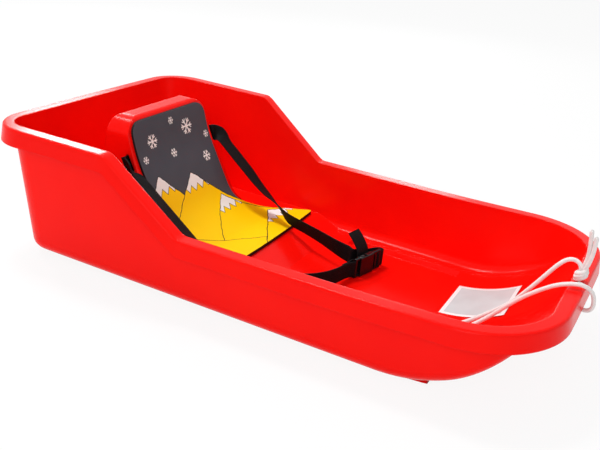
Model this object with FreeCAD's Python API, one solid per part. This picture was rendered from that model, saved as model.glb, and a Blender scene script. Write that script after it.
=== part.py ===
import FreeCAD, Part
import math
import os
from FreeCAD import Vector

# Toddler sled, in millimetres.
# The shapes are built with X forward from the rear rim, Y to the sled's left and
# Z up from the ground, and exported with X counted from the sled's middle.
# The tub is symmetric about the plane Y = 0.

# Tub: plan of the hull wall at the height of the hull floor
length = 800.0
hull_rear_width = 370.8
hull_front_width = 349.2
rear_wall_base_x = 36.5
front_wall_setback = 22.0
hull_rear_corner_radius = 38.0
hull_front_corner_radius = 97.0

# Tub: heights, wall and draft
ground_clearance = 8.0
wall = 2.0
side_draft_share = 0.05
rear_draft_share = 0.104
hull_top = 206.0
hull_edge_radius = 17.0
ramp_radius = 200.0
ramp_setback = 198.0

# Rim: a turned-down flange, high round the seat and low round the feet
rim_reach = 17.2
rim_rear_corner_radius = 60.0
rim_front_corner_radius = 114.0
rim_rear_height = 198.5
rim_bend_high_x = 212.7
rim_bend_low_x = 326.8
rim_low_height = 111.6
rim_middle_setback = 237.0
rim_middle_height = 113.8
rim_front_height = 121.0
rim_bend_radius = 18.0
rim_sag_radius = 4000.0
lip_depth = 23.5
lip_flare = 3.0
rim_edge_radius = 3.5
end_bow = 1.8
end_bow_radius = 7000.0

# Seat: a raised platform with an upright seat back, both hollow from below
platform_height = 25.0
platform_front_x = 338.0
foot_slope_x = 388.0
platform_edge_radius = 6.0
back_height = 207.0
back_top_front_x = 153.0
back_top_rear_x = 121.0
back_break_x = 168.0
back_break_height = 152.0
back_foot_x = 237.0
back_rear_foot_x = 105.0
back_break_radius = 220.0
back_foot_radius = 96.0
back_rear_foot_radius = 15.0
back_top_edge_radius = 8.0
back_top_width = 188.0
back_foot_width = 200.0
back_corner_radius = 30.0
back_side_foot_radius = 40.0
front_foot_dip = 0.4
side_foot_dip = 0.8
void_rear_x = 60.0
void_width = 264.0
void_corner_radius = 12.0

# Runners under the hull, open as grooves in the foot well
runner_spacing = 288.0
runner_width = 26.0
runner_foot_width = 18.0
runner_rear_x = 70.0
runner_lift_radius = 210.0
groove_rear_x = 420.0
groove_overlap = 2.0

# Seat belt slots in the sides of the seat back
slot_height = 147.0
slot_setback = 6.0
slot_length = 30.0
slot_width = 5.0

# Hole for the pull cord in the front flange
cord_hole_setback = 9.0
cord_hole_diameter = 8.0

# Seat pad
pad_thickness = 6.0
pad_gap = 0.3
pad_print_thickness = 1.0
pad_print_inset = 1.0
pad_top_margin = 5.0
pad_front_x = 341.0
pad_front_bow = 6.0
pad_bow_radius = 1500.0
pad_back_width = 175.0
pad_front_width = 336.0
pad_neck_run = 25.0
pad_neck_share = 0.32
pad_shoulder_run_share = 0.57
pad_shoulder_share = 0.73
pad_waist_radius = 30.0
pad_front_corner_radius = 5.0
pad_top_corner_radius = 20.0

# Webbing
webbing_width = 25.0
webbing_thickness = 1.6

# Side release buckle, in its own frame: U along it, V across its width, W through it
buckle_x = 488.3
buckle_y = 61.8
buckle_turn_deg = 75.7
buckle_width = 31.0
buckle_thickness = 9.0
buckle_edge_radius = 1.6
buckle_gap = 0.3
loop_play = 0.4
loop_run = 12.0
fold_steps = 4
socket_length = 35.0
socket_bar = 4.0
socket_slot = 6.0
socket_back_wall = 2.3
socket_side_wall = 2.3
socket_skin = 1.5
shoulder_length = 4.0
shoulder_gap = 0.4
ladder_length = 20.0
ladder_bar = 3.2
ladder_end_bar = 3.8
ladder_thickness = 5.0
tongue_width = 6.0
tongue_length = 19.0
tongue_thickness = 4.6
arm_length = 21.0
arm_thickness = 2.6
arm_inner_edge = 8.4
arm_depth = 5.2
arm_root_depth = 1.6
arm_gap = 0.3
button_tip_inset = 2.0
button_length = 9.0
button_proud = 0.7
button_catch = 3.2
window_play = 1.3

# Pull cord and its knot
cord_diameter = 5.5
cord_arc_share = 0.45
cord_sides = 8
cord_ring_turn_deg = 35.0
knot_width = 16.0
knot_height = 20.0
knot_gap = 0.2
knot_waist_share = 0.8
knot_swell_share = 1.25
knot_wraps = 3

# One overrun serves all cuts, and places closer than a share of the wall are the same
overrun = 30.0
near_share = 0.01

# What follows from the sizes above
near = wall * near_share
hull_floor = ground_clearance + wall
front_wall_base_x = length - front_wall_setback
ramp_start_x = length - ramp_setback
rim_middle_x = length - rim_middle_setback
groove_front_x = ramp_start_x + groove_overlap
cord_hole_x = length - cord_hole_setback
pad_lift = pad_gap + pad_thickness


def rounded(corners, closed=True):
    """Wire through (point, radius) corners, each turned by a tangent arc."""
    count = len(corners)
    joints = []
    for i, (point, radius) in enumerate(corners):
        sharp = radius == 0 or (not closed and i in (0, count - 1))
        if sharp:
            joints.append((point, None, point))
            continue
        to_last = (corners[i - 1][0] - point).normalize()
        to_next = (corners[(i + 1) % count][0] - point).normalize()
        half = to_last.getAngle(to_next) / 2
        middle_way = (to_last + to_next).normalize()
        run = radius / math.tan(half)
        top = point + middle_way * (radius / math.sin(half) - radius)
        joints.append((point + to_last * run, top, point + to_next * run))
    edges = []
    for i, (start, top, end) in enumerate(joints):
        if top is not None:
            edges.append(Part.Arc(start, top, end).toShape())
        if closed or i < count - 1:
            edges.append(Part.LineSegment(end, joints[(i + 1) % count][0]).toShape())
    return Part.Wire(edges)


def extruded(wire, way):
    """Solid swept from a flat wire along a vector."""
    return Part.Face(wire).extrude(way)


def side_prism(corners, half_width):
    """Solid with a side view of (x, z, radius) corners, as wide as asked each way."""
    wire = rounded([(Vector(x, -half_width, z), r) for x, z, r in corners])
    return extruded(wire, Vector(0, 2 * half_width, 0))


def plan_prism(corners, low, high):
    """Solid with a plan of (x, y, radius) corners between two heights."""
    wire = rounded([(Vector(x, y, low), r) for x, y, r in corners])
    return extruded(wire, Vector(0, 0, high - low))


def box(low, high):
    """Block between two opposite corners."""
    size = high.sub(low)
    return Part.makeBox(size.x, size.y, size.z, low)


def shifted(path, move):
    """Open path of (a, b, radius) moved sideways, to its left when positive."""
    lines = []
    for (a0, b0, _), (a1, b1, _) in zip(path, path[1:]):
        run = math.hypot(a1 - a0, b1 - b0)
        na, nb = -(b1 - b0) / run, (a1 - a0) / run
        lines.append((a0 + na * move, b0 + nb * move, (a1 - a0) / run, (b1 - b0) / run))
    out = [lines[0][:2] + (path[0][2],)]
    for i in range(1, len(lines)):
        a0, b0, da0, db0 = lines[i - 1]
        a1, b1, da1, db1 = lines[i]
        turn = da0 * db1 - db0 * da1
        along = ((a1 - a0) * db1 - (b1 - b0) * da1) / turn
        side = 1 if turn > 0 else -1
        out.append((a0 + da0 * along, b0 + db0 * along, path[i][2] - side * move))
    a, b, da, db = lines[-1]
    run = math.hypot(path[-1][0] - path[-2][0], path[-1][1] - path[-2][1])
    out.append((a + da * run, b + db * run, path[-1][2]))
    return out


def solid_of(faces):
    """Solid inside faces that close a space."""
    shell = Part.makeShell(faces)
    shell.sewShape()
    solid = Part.Solid(shell)
    if solid.Volume < 0:
        solid.reverse()
    return solid


def through_rings(rings):
    """Closed solid through rings of points, with flat triangles along its sides."""
    faces = [Part.Face(Part.makePolygon(ring + ring[:1])) for ring in (rings[0], rings[-1])]
    for first, following in zip(rings, rings[1:]):
        for i in range(len(first)):
            j = (i + 1) % len(first)
            for corners in ((first[i], first[j], following[j]), (first[i], following[j], following[i])):
                faces.append(Part.Face(Part.makePolygon(list(corners) + [corners[0]])))
    return solid_of(faces)


def mirrored(half):
    """Plan loop from its half at +Y, given from the rear to the front."""
    return half + [(x, -y, r) for x, y, r in reversed(half) if y]


# Hull
def hull_half_width(x):
    """Outer half width of the hull wall at floor height, tapered to the front."""
    return (hull_rear_width + (hull_front_width - hull_rear_width) * x / length) / 2


def hull_loop(z, inset):
    """Plan of the hull wall at a height, moved inwards."""
    rise = z - ground_clearance
    grow = side_draft_share * rise - inset
    rear = rear_wall_base_x - rear_draft_share * rise + inset
    front = front_wall_base_x + side_draft_share * rise - inset
    half = [
        (rear, hull_half_width(rear) + grow, hull_rear_corner_radius - inset),
        (front, hull_half_width(front) + grow, hull_front_corner_radius - inset),
    ]
    return rounded([(Vector(x, y, z), r) for x, y, r in mirrored(half)])


def hull_walls(inset):
    """Drafted walls: flat sides, and corners that lean with them at one radius."""
    low = hull_loop(ground_clearance + inset, inset)
    high = hull_loop(hull_top, inset)
    faces = [Part.Face(low), Part.Face(high)]
    for below, above in zip(low.Edges, high.Edges):
        if isinstance(below.Curve, Part.Line):
            a, b = [v.Point for v in below.Vertexes]
            c, d = [v.Point for v in above.Vertexes]
            faces.append(Part.Face(Part.makePolygon([a, b, d, c, a])))
        else:
            faces.append(below.extrude(above.Vertexes[0].Point - below.Vertexes[0].Point))
    return solid_of(faces)


def rim_side(drop):
    """Side view of the rim's top, lowered by a drop, from the rear to the front."""
    return [
        (-overrun, rim_rear_height - drop, 0),
        (rim_bend_high_x, rim_rear_height - drop, rim_bend_radius),
        (rim_bend_low_x, rim_low_height - drop, rim_bend_radius),
        (rim_middle_x, rim_middle_height - drop, rim_sag_radius),
        (length + overrun, rim_front_height - drop, 0),
    ]


def hull_block(inset, top_drop):
    """The hull's outer shape, or with an inset the hollow inside its wall."""
    floor = ground_clearance + inset
    radius = ramp_radius - inset
    walls = hull_walls(inset)
    rim = rim_side(top_drop)
    ramp_end = ramp_start_x + radius
    edges = []
    start = Vector(-overrun, -length, floor)
    foot = Vector(ramp_start_x, -length, floor)
    rise = math.radians(45)
    mid = foot + Vector(radius * math.sin(rise), 0, radius * (1 - math.cos(rise)))
    end = Vector(ramp_end, -length, floor + radius)
    edges.append(Part.LineSegment(start, foot).toShape())
    edges.append(Part.Arc(foot, mid, end).toShape())
    edges.append(Part.LineSegment(end, Vector(-overrun, -length, end.z)).toShape())
    edges.append(Part.LineSegment(Vector(-overrun, -length, end.z), start).toShape())
    side = extruded(Part.Wire(edges), Vector(0, 2 * length, 0))
    block = walls.common(side)
    block = block.makeFillet(hull_edge_radius - inset, bottom_edges(block, floor, radius))
    below = side_prism(rim + [(length + overrun, -overrun, 0), (-overrun, -overrun, 0)], length)
    return block.common(below)


def bottom_edges(block, floor, radius):
    """Edges where the floor and the ramp meet the walls."""
    picked = []
    centre = Vector(ramp_start_x, 0, floor + radius)
    for edge in block.Edges:
        on_bottom = True
        off_level = False
        for share in (0, 0.5, 1):
            first, last = edge.FirstParameter, edge.LastParameter
            p = edge.valueAt(first + (last - first) * share)
            if p.x > ramp_start_x:
                on_ramp = abs(math.hypot(p.x - centre.x, p.z - centre.z) - radius) < near
                on_bottom = on_bottom and on_ramp and p.z < centre.z - hull_edge_radius
            else:
                on_bottom = on_bottom and abs(p.z - floor) < near
        for vertex in edge.Vertexes:
            off_level = off_level or abs(vertex.X - ramp_start_x) > near
        if on_bottom and off_level:
            picked.append(edge)
    return picked


# Rim
def rim_loop(inset, drop):
    """Closed line round the rim, moved inwards and lowered from its outer top edge."""
    lift = -ground_clearance
    half = [
        (inset, 0, rim_rear_height, end_bow_radius),
        (inset + end_bow, None, rim_rear_height, rim_rear_corner_radius - inset),
        (rim_bend_high_x, None, rim_rear_height, rim_bend_radius),
        (rim_bend_low_x, None, rim_low_height, rim_bend_radius),
        (rim_middle_x, None, rim_middle_height, rim_sag_radius),
        (length - inset - end_bow, None, rim_front_height, rim_front_corner_radius - inset),
        (length - inset, 0, rim_front_height, end_bow_radius),
    ]
    corners = []
    for x, y, z, radius in half:
        if y is None:
            y = hull_half_width(x) + side_draft_share * (z + lift) + rim_reach - inset
        corners.append((x, y, z - drop, radius))
    corners += [(x, -y, z, r) for x, y, z, r in reversed(corners) if y]
    return rounded([(Vector(x, y, z), r) for x, y, z, r in corners])


def rim_ring():
    """The flange and its turned-down lip, from a section carried round the loop."""
    soft = rim_edge_radius
    lip_in = wall - lip_flare
    section = [(soft, 0)]
    for turn_deg in (30, 60, 90):
        turn = math.radians(turn_deg)
        section.append((soft - soft * math.sin(turn), soft - soft * math.cos(turn)))
    section += [(-lip_flare, lip_depth), (lip_in, lip_depth), (wall, soft), (soft, wall)]
    section += [(rim_reach + 2 * wall, wall), (rim_reach + 2 * wall, 0)]
    loops = [rim_loop(inset, drop) for inset, drop in section]
    faces = []
    for i, loop in enumerate(loops):
        following = loops[(i + 1) % len(loops)]
        for first, second in zip(loop.Edges, following.Edges):
            faces.append(Part.makeRuledSurface(first, second))
    return solid_of(faces)


# Seat platform and back
def seat_line():
    """Side view of the seat's front: down the back, along the seat, to the feet."""
    return [
        (back_top_front_x, back_height, 0),
        (back_break_x, back_break_height, back_break_radius),
        (back_foot_x, platform_height, back_foot_radius),
        (platform_front_x, platform_height, platform_edge_radius),
        (foot_slope_x, hull_floor, 0),
    ]


def back_block(inset):
    """Seat back, or with an inset the hollow inside its wall, open below."""
    path = [
        (back_rear_foot_x - overrun, platform_height - front_foot_dip, 0),
        (back_rear_foot_x, platform_height - front_foot_dip, back_rear_foot_radius),
        (back_top_rear_x, back_height, back_top_edge_radius),
        (back_top_front_x, back_height, back_top_edge_radius),
        (back_break_x, back_break_height, back_break_radius),
        (back_foot_x, platform_height - front_foot_dip, back_foot_radius),
        (platform_front_x - overrun, platform_height - front_foot_dip, 0),
    ]
    path = shifted(path, -inset)
    low = ground_clearance - overrun if inset else ground_clearance + wall
    side = path + [(path[-1][0], low, 0), (path[0][0], low, 0)]
    foot = platform_height - side_foot_dip
    reach = back_foot_width / 2 + back_side_foot_radius + overrun
    front = [
        (-reach, foot, 0),
        (-back_foot_width / 2, foot, back_side_foot_radius),
        (-back_top_width / 2, back_height, back_corner_radius),
        (back_top_width / 2, back_height, back_corner_radius),
        (back_foot_width / 2, foot, back_side_foot_radius),
        (reach, foot, 0),
    ]
    front = shifted(front, -inset)
    front += [(front[-1][0], low, 0), (front[0][0], low, 0)]
    wire = rounded([(Vector(0, y, z), r) for y, z, r in front])
    return side_prism(side, reach).common(extruded(wire, Vector(length / 2, 0, 0)))


def platform_block():
    """The raised seat platform, with its slope down to the foot well."""
    path = [
        (0, platform_height, 0),
        (platform_front_x, platform_height, platform_edge_radius),
        (foot_slope_x, hull_floor, 0),
        (foot_slope_x, ground_clearance, 0),
        (0, ground_clearance, 0),
    ]
    return side_prism(path, length).common(hull_block(wall / 2, wall))


def void_plan(high):
    """Plan of the hollow between the rails under the seat, up to a height."""
    half = void_width / 2
    plan = [
        (void_rear_x, -half, void_corner_radius),
        (void_rear_x, half, void_corner_radius),
        (foot_slope_x, half, void_corner_radius),
        (foot_slope_x, -half, void_corner_radius),
    ]
    return plan_prism(plan, -overrun, high)


def platform_void():
    """The hollow under the platform, open to the ground."""
    top = platform_height - wall
    slope = (foot_slope_x - platform_front_x) / (platform_height - hull_floor)
    end = foot_slope_x - wall - slope * wall
    path = [
        (void_rear_x, -overrun, 0),
        (void_rear_x, top, void_corner_radius / 2),
        (platform_front_x - wall, top, platform_edge_radius),
        (end, ground_clearance, 0),
        (end, -overrun, 0),
    ]
    return side_prism(path, void_width / 2 + overrun).common(void_plan(platform_height))


def seat_back_lean():
    """Angle of the seat back's lower front face above the level."""
    return math.atan2(back_break_height - platform_height, back_foot_x - back_break_x)


def slot_centre(lean):
    """Middle of the slots, set back square to the seat back's front face."""
    face_x = back_break_x + (back_break_height - slot_height) / math.tan(lean)
    return Vector(face_x - slot_setback * math.sin(lean), 0,
                  slot_height - slot_setback * math.cos(lean))


def belt_slots():
    """One bar that cuts the belt slot through both sides of the seat back."""
    lean = seat_back_lean()
    half = back_foot_width / 2 + overrun
    bar = box(Vector(-slot_width / 2, -half, -slot_length / 2),
              Vector(slot_width / 2, half, slot_length / 2))
    bar.rotate(Vector(0, 0, 0), Vector(0, 1, 0), math.degrees(lean) - 90)
    bar.translate(slot_centre(lean))
    return bar


# Runners
def runner(side, inset, rear_x, front_x, top):
    """One runner, or with an inset the groove moulded inside it."""
    middle = side * runner_spacing / 2
    half_top = runner_width / 2 - inset
    half_foot = runner_foot_width / 2 - inset
    section = [
        (middle - half_top, ground_clearance + inset),
        (middle - half_foot, inset),
        (middle + half_foot, inset),
        (middle + half_top, ground_clearance + inset),
        (middle + half_top, top),
        (middle - half_top, top),
    ]
    wire = Part.makePolygon([Vector(rear_x, y, z) for y, z in section + section[:1]])
    return extruded(wire, Vector(front_x - rear_x, 0, 0))


def runner_ends(inset):
    """Side view that lifts the runners' ends into the hull."""
    low = inset
    lift = runner_lift_radius
    run = math.sqrt(lift ** 2 - (lift - ground_clearance) ** 2)
    return [
        (runner_rear_x, platform_height, 0),
        (runner_rear_x, low, ground_clearance),
        (ramp_start_x, low, lift),
        (ramp_start_x + 2 * run, low + 2 * ground_clearance, 0),
        (ramp_start_x + 2 * run, platform_height, 0),
    ]


def sled_tub():
    """The one-piece moulded tub."""
    tub = hull_block(0, wall / 2).fuse(rim_ring())
    tub = tub.cut(hull_block(wall, -overrun))
    tub = tub.fuse(platform_block()).fuse(back_block(0))
    ends = side_prism(runner_ends(0), length / 2)
    for side in (-1, 1):
        rail = runner(side, 0, runner_rear_x, ramp_start_x + ramp_radius / 2, hull_floor - wall / 2)
        tub = tub.fuse(rail.common(ends))
        groove = runner(side, wall, groove_rear_x, groove_front_x, platform_height)
        tub = tub.cut(groove)
    hollow = back_block(wall).common(void_plan(back_height))
    tub = tub.cut(platform_void()).cut(hollow).cut(belt_slots())
    hole = Part.makeCylinder(cord_hole_diameter / 2, 2 * overrun,
                             Vector(cord_hole_x, 0, rim_front_height - overrun))
    return tub.cut(hole)


# Seat pad
def pad_line(lift):
    """Seat line under the pad, raised by a lift and run straight out past the platform."""
    path = seat_line()[:3] + [(pad_front_x + overrun, platform_height, 0)]
    return [(x, z, abs(r)) for x, z, r in shifted(path, lift)]


def pad_outline(inset):
    """Plan of the pad: narrow on the seat back, wide over the platform."""
    half = pad_back_width / 2 - inset
    wide = pad_front_width / 2 - inset
    neck = half + (wide - half) * pad_neck_share
    shoulder = half + (wide - half) * pad_shoulder_share
    rear = back_top_front_x - overrun
    front = pad_front_x - inset
    shoulder_x = back_foot_x + (front - back_foot_x) * pad_shoulder_run_share
    return [
        (rear, 0, 0),
        (rear, half, 0),
        (back_foot_x, half, pad_waist_radius),
        (back_foot_x + pad_neck_run, neck, pad_waist_radius),
        (shoulder_x, shoulder, pad_waist_radius),
        (front - pad_front_bow, wide, pad_front_corner_radius),
        (front, 0, pad_bow_radius),
    ]


def pad_face(inset):
    """Front view of the pad, with the round corners at its top."""
    half = pad_back_width / 2 + pad_gap - inset
    top = back_height - pad_top_margin - inset
    return [
        (-length / 2, 0, 0), (-length / 2, back_break_height / 2, 0),
        (-half, back_break_height / 2, 0), (-half, top, pad_top_corner_radius),
        (half, top, pad_top_corner_radius), (half, back_break_height / 2, 0),
        (length / 2, back_break_height / 2, 0), (length / 2, 0, 0),
    ]


def pad_layer(low, high, inset):
    """One layer of the pad between two lifts over the seat, drawn in all round."""
    slab = side_prism(pad_line(low) + list(reversed(pad_line(high))), length / 2)
    plan = plan_prism(mirrored(pad_outline(inset)), 0, back_height + overrun)
    face = rounded([(Vector(0, y, z), r) for y, z, r in pad_face(inset)])
    return slab.common(plan).common(extruded(face, Vector(length / 2, 0, 0)))


def seat_pad():
    """Foam that follows the seat back and platform, with a printed skin on its face."""
    foam_lift = pad_lift - pad_print_thickness
    foam = pad_layer(pad_gap, foam_lift, 0)
    return foam.fuse(pad_layer(foam_lift, pad_lift, pad_print_inset)).removeSplitter()


# Buckle frame
buckle_rest = hull_floor + buckle_gap + button_proud + buckle_width / 2
buckle_turn = math.radians(buckle_turn_deg)
buckle_along = Vector(math.cos(buckle_turn), math.sin(buckle_turn), 0)
buckle_through = buckle_along.cross(Vector(0, 0, 1))
buckle_origin = Vector(buckle_x, buckle_y, buckle_rest)


def at_buckle(u, v, w):
    """Place in the sled from a place in the buckle's own frame."""
    return buckle_origin + buckle_along * u + Vector(0, 0, v) + buckle_through * w


def way_at_buckle(u, v, w):
    """Direction in the sled from one in the buckle's own frame."""
    return at_buckle(u, v, w) - buckle_origin


def placed(shape):
    """Shape built in the buckle's own frame, moved to its place."""
    turn = FreeCAD.Rotation(buckle_along, Vector(0, 0, 1), buckle_through, "XYZ")
    shape.Placement = FreeCAD.Placement(buckle_origin, turn)
    return shape


def bar_block(u0, u1, half_v, half_w):
    """Block centred on the buckle's long axis."""
    return box(Vector(u0, -half_v, -half_w), Vector(u1, half_v, half_w))


def softened(shape, radius):
    """Shape with the edges that run along it rounded."""
    edges = [e for e in shape.Edges if abs(e.Vertexes[0].X - e.Vertexes[-1].X) > radius]
    return shape.makeFillet(radius, edges)


def buckle_socket():
    """Female half: a sleeve with side windows and a webbing bar."""
    half_v = buckle_width / 2
    half_w = buckle_thickness / 2
    neck = -socket_length + socket_bar + socket_slot
    sleeve = softened(bar_block(neck, 0, half_v, half_w), buckle_edge_radius)
    tail = bar_block(-socket_length, neck + socket_back_wall, half_v, ladder_thickness / 2)
    tail = softened(tail, buckle_edge_radius)
    slot = bar_block(-socket_length + socket_bar, neck, webbing_width / 2 + buckle_gap, half_w)
    body = sleeve.fuse(tail).cut(slot)
    hollow_v = half_v - socket_side_wall
    hollow_w = half_w - socket_skin
    body = body.cut(bar_block(neck + socket_back_wall, overrun, hollow_v, hollow_w))
    tip = -arm_length + button_tip_inset
    window = bar_block(tip - window_play, tip + button_length + window_play, half_v * 2, hollow_w)
    return placed(body.cut(window))


def buckle_plug():
    """Male half: a shoulder, a ladder for the webbing and a guide tongue."""
    half_v = buckle_width / 2
    end = shoulder_gap + shoulder_length
    shoulder = softened(bar_block(shoulder_gap, end, half_v, buckle_thickness / 2), buckle_edge_radius)
    frame = bar_block(end - shoulder_length / 2, end + ladder_length, half_v, ladder_thickness / 2)
    frame = softened(frame, buckle_edge_radius)
    slot_run = (ladder_length - ladder_bar - ladder_end_bar) / 2
    slot_v = webbing_width / 2 + buckle_gap
    for start in (end, end + slot_run + ladder_bar):
        frame = frame.cut(bar_block(start, start + slot_run, slot_v, buckle_thickness))
    tongue = bar_block(-tongue_length, end - shoulder_length / 2, tongue_width / 2, tongue_thickness / 2)
    plug = shoulder.fuse(frame).fuse(tongue)
    pocket_u = shoulder_gap + arm_root_depth + arm_gap
    for side in (-1, 1):
        low = arm_inner_edge - arm_gap
        high = arm_inner_edge + arm_thickness + arm_gap
        v0, v1 = sorted((side * low, side * high))
        half = arm_depth / 2 + arm_gap
        plug = plug.cut(box(Vector(shoulder_gap - overrun, v0, -half), Vector(pocket_u, v1, half)))
    return placed(plug)


def release_arm(side):
    """Sprung side arm with the thumb button that stands in the socket's window."""
    tip = -arm_length
    inner = arm_inner_edge
    outer = arm_inner_edge + arm_thickness
    button = buckle_width / 2 + button_proud
    catch = tip + button_tip_inset + button_length
    outline = [
        (shoulder_gap + arm_root_depth, inner, 0), (shoulder_gap + arm_root_depth, outer, 0),
        (catch, outer, 0), (catch, outer + button_catch, button_catch / 4),
        (catch - button_length / 2, button, button_length / 2),
        (tip + button_tip_inset, button, button_tip_inset), (tip, inner + button_tip_inset, 0),
        (tip, inner, 0),
    ]
    points = [(Vector(u, side * v, -arm_depth / 2), r) for u, v, r in outline]
    return placed(extruded(rounded(points), Vector(0, 0, arm_depth)))


# Webbing
def ribbon(stations, led_in=0, led_out=0):
    """Webbing through (centre, across) stations, a flat section at each.

    The stations led in and out only steer the direction of the end sections.
    """
    sections = []
    for i in range(led_in, len(stations) - led_out):
        centre, across = stations[i]
        before = stations[max(i - 1, 0)][0]
        after = stations[min(i + 1, len(stations) - 1)][0]
        along = (after - before).normalize()
        across = (across - along * across.dot(along)).normalize()
        normal = along.cross(across).normalize()
        a = across * (webbing_width / 2)
        n = normal * (webbing_thickness / 2)
        corners = [centre - a - n, centre + a - n, centre + a + n, centre - a + n]
        sections.append(corners)
    return through_rings(sections)


def slot_stations():
    """Webbing through the seat back, from the near slot to the far one."""
    lean = seat_back_lean()
    middle = slot_centre(lean)
    across = Vector(-math.cos(lean), 0, math.sin(lean))
    reach = back_top_width / 2 + webbing_width / 4
    return [(middle + Vector(0, y, 0), across) for y in (-reach, -reach / 3, reach / 3, reach)]


# Each strap's route over the seat, chosen by hand, as (centre, across) in the sled
near_strap = [
    (Vector(471, -10, 27), Vector(0, 0, 1)),
    (Vector(463, -31, 27.5), Vector(0, 0, 1)),
    (Vector(449, -52, 28.5), Vector(0, 0, 1)),
    (Vector(428, -71, 30), Vector(0, 0, 1)),
    (Vector(400, -87, 35), Vector(0, -0.1, 1)),
    (Vector(368, -97, 42), Vector(0, -0.2, 1)),
    (Vector(336, -102, 48), Vector(0, -0.45, 1)),
    (Vector(306, -104, 55), Vector(0, -0.8, 0.7)),
    (Vector(278, -105, 70), Vector(-0.1, -1, 0.2)),
    (Vector(250, -105, 89), Vector(-0.15, -1, -0.1)),
    (Vector(222, -106, 110), Vector(-0.2, -1, -0.1)),
    (Vector(204, -107.5, 124), Vector(-0.25, -1, 0.1)),
    (Vector(190, -109, 136), Vector(-0.3, -0.75, 0.5)),
    (Vector(179, -109.5, 143.5), Vector(-0.45, -0.3, 0.85)),
    (Vector(170, -107, 146.3), Vector(-0.48, 0, 0.88)),
]
far_strap = [
    (Vector(170, 107, 146.3), Vector(-0.48, 0, 0.88)),
    (Vector(179, 109.5, 145), Vector(-0.45, 0.3, 0.85)),
    (Vector(191, 109, 142), Vector(-0.3, 0.75, 0.5)),
    (Vector(204, 107, 135), Vector(-0.25, 1, 0.1)),
    (Vector(220, 104, 122), Vector(-0.2, 1, -0.1)),
    (Vector(236, 102, 105), Vector(-0.2, 1, -0.1)),
    (Vector(250, 101, 88), Vector(-0.15, 1, 0)),
    (Vector(265, 99, 71), Vector(-0.1, 1, 0.3)),
    (Vector(283, 96, 57), Vector(0, 0.7, 0.7)),
    (Vector(306, 91, 49.5), Vector(0, 0.35, 1)),
]
adjuster_strap = [
    (Vector(306, 91, 49.5), Vector(0, 0.35, 1)),
    (Vector(336, 84, 47), Vector(0, 0.1, 1)),
    (Vector(370, 74, 46), Vector(0, 0, 1)),
    (Vector(405, 62, 45), Vector(0, 0, 1)),
    (Vector(438, 51, 42), Vector(0, 0.1, 1)),
    (Vector(460, 49, 37), Vector(0, 0.1, 1)),
]


def belt_webbing():
    """Webbing from the sewn loop on the socket, through the seat back, to the far side."""
    bar_u = -socket_length + socket_bar / 2
    reach = socket_bar / 2 + webbing_thickness / 2 + loop_play
    lift = ladder_thickness / 2 + webbing_thickness / 2 + loop_play
    lap = webbing_thickness + loop_play
    loop = [
        (bar_u - loop_run * 2, -lap), (bar_u - loop_run, -lap * 1.1),
        (bar_u - loop_run / 2, -lift * 0.8), (bar_u - reach, -lift * 0.97), (bar_u, -lift * 1.03),
        (bar_u + reach * 0.75, -lift), (bar_u + reach * 1.12, -lift * 0.55), (bar_u + reach * 1.2, 0),
        (bar_u + reach * 1.12, lift * 0.55), (bar_u + reach * 0.75, lift),
        (bar_u, lift * 1.03), (bar_u - reach, lift * 0.97), (bar_u - loop_run / 2, lift * 0.6),
        (bar_u - loop_run, lap * 0.2), (bar_u - loop_run * 2, 0),
    ]
    stations = [(at_buckle(u, 0, w), Vector(0, 0, 1)) for u, w in loop]
    route = stations + near_strap + slot_stations() + far_strap
    return ribbon(route + adjuster_strap[1:2], led_out=1)


def belt_adjuster_end():
    """Webbing from the far side to the plug's ladder, and its free tail."""
    end = shoulder_gap + shoulder_length
    slot_run = (ladder_length - ladder_bar - ladder_end_bar) / 2
    bar_u = end + slot_run + ladder_bar / 2
    slot_u = bar_u + (ladder_bar + slot_run) / 2
    last_u = end + ladder_length
    lift = ladder_thickness / 2 + webbing_thickness / 2 + loop_play
    round_end = [
        (-18, 8, -16.5), (0, 1, -15.5), (18, -0.5, -12.5), (last_u + 4, -0.5, -9),
        (last_u + 8.5, 0, -5.2), (last_u + 10, 0, -0.6), (last_u + 8, 0, 3.2),
        (last_u + 3, 0, 4.6), (last_u - 1, 0, lift * 1.1), (slot_u + 3, 0, lift * 1.05),
        (slot_u + 1.2, 0, lift * 0.7), (slot_u, 0, 0), (slot_u - 1, 0, -lift * 0.75),
        (slot_u - 2.8, 0, -lift * 1.08), (bar_u - 0.5, 0, -lift * 1.25),
    ]
    stations = [(at_buckle(u, v, w), Vector(0, 0, 1)) for u, v, w in round_end]
    half = webbing_width / 2
    behind = buckle_thickness / 2 + webbing_thickness / 2 + loop_play
    for step in range(fold_steps + 1):
        turn = math.pi / 2 * step / fold_steps
        centre = at_buckle(end + loop_play * 9 - half * math.sin(turn), half - half * math.cos(turn),
                           -behind - loop_play * step)
        stations.append((centre, way_at_buckle(math.sin(turn), math.cos(turn), 0)))
    for u, v, w in ((-3.7, 19, -9.5), (-4, 27, -15), (-4.5, 35, -22), (-5, 41, -29)):
        stations.append((at_buckle(u, v, w), way_at_buckle(1, 0, 0)))
    return ribbon(far_strap[-2:-1] + adjuster_strap + stations, led_in=1)


# Pull cord
def cord_path(points):
    """Straight runs joined by tangent arcs, as large as their runs allow."""
    corners = [(points[0], 0)]
    radii = []
    for before, point, after in zip(points, points[1:], points[2:]):
        back, ahead = before - point, after - point
        half_turn = (math.pi - back.getAngle(ahead)) / 2
        radius = cord_arc_share * min(back.Length, ahead.Length) / math.tan(half_turn)
        corners.append((point, radius))
        radii.append(radius)
    corners.append((points[-1], 0))
    return rounded(corners, False), radii


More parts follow.
